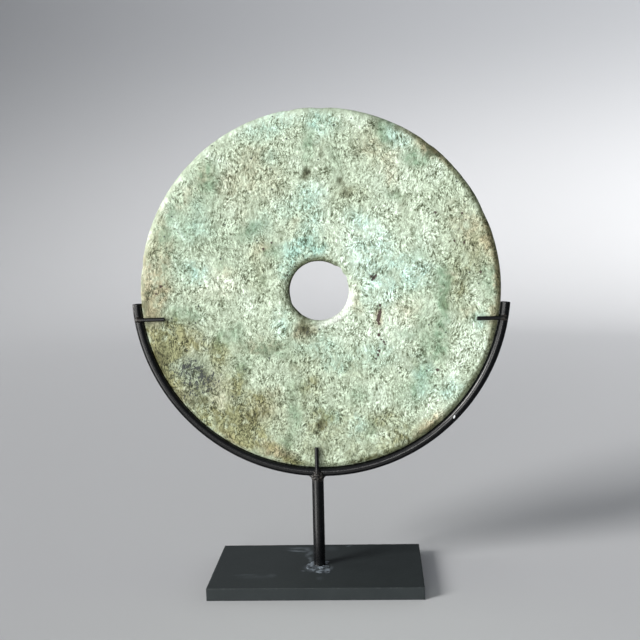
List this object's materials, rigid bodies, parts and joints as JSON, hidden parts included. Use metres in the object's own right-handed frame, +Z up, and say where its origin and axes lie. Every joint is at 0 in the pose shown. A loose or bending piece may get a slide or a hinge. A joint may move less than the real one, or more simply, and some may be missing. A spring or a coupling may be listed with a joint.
{
  "type": "jade bi disc on a rod stand",
  "caption": "Flat ring of mottled green jade with a round central hole, standing upright in a half-circle rod cradle on a post and a flat foot plate.",
  "frame": {"origin": "on the surface that the foot plate stands on, under the middle of the cradle and midway between the plate's front and back edges", "axes": "+Z up, -Y towards the front, where the disc's face looks, +X to the right as seen from the front"},
  "size_m": [0.3158, 0.102, 0.396],
  "materials": {
    "jade": "satin",
    "plate_paint": "matte",
    "rod_paint": "satin"
  },
  "bodies": {
    "root": {"bi_disc": "jade", "base_plate": "plate_paint", "post": "rod_paint", "cradle_arc": "rod_paint", "prong_front_left": "rod_paint", "prong_front_right": "rod_paint", "prong_front_bottom": "rod_paint", "prong_back_left": "rod_paint", "prong_back_right": "rod_paint", "prong_back_bottom": "rod_paint"}
  },
  "joints": []
}
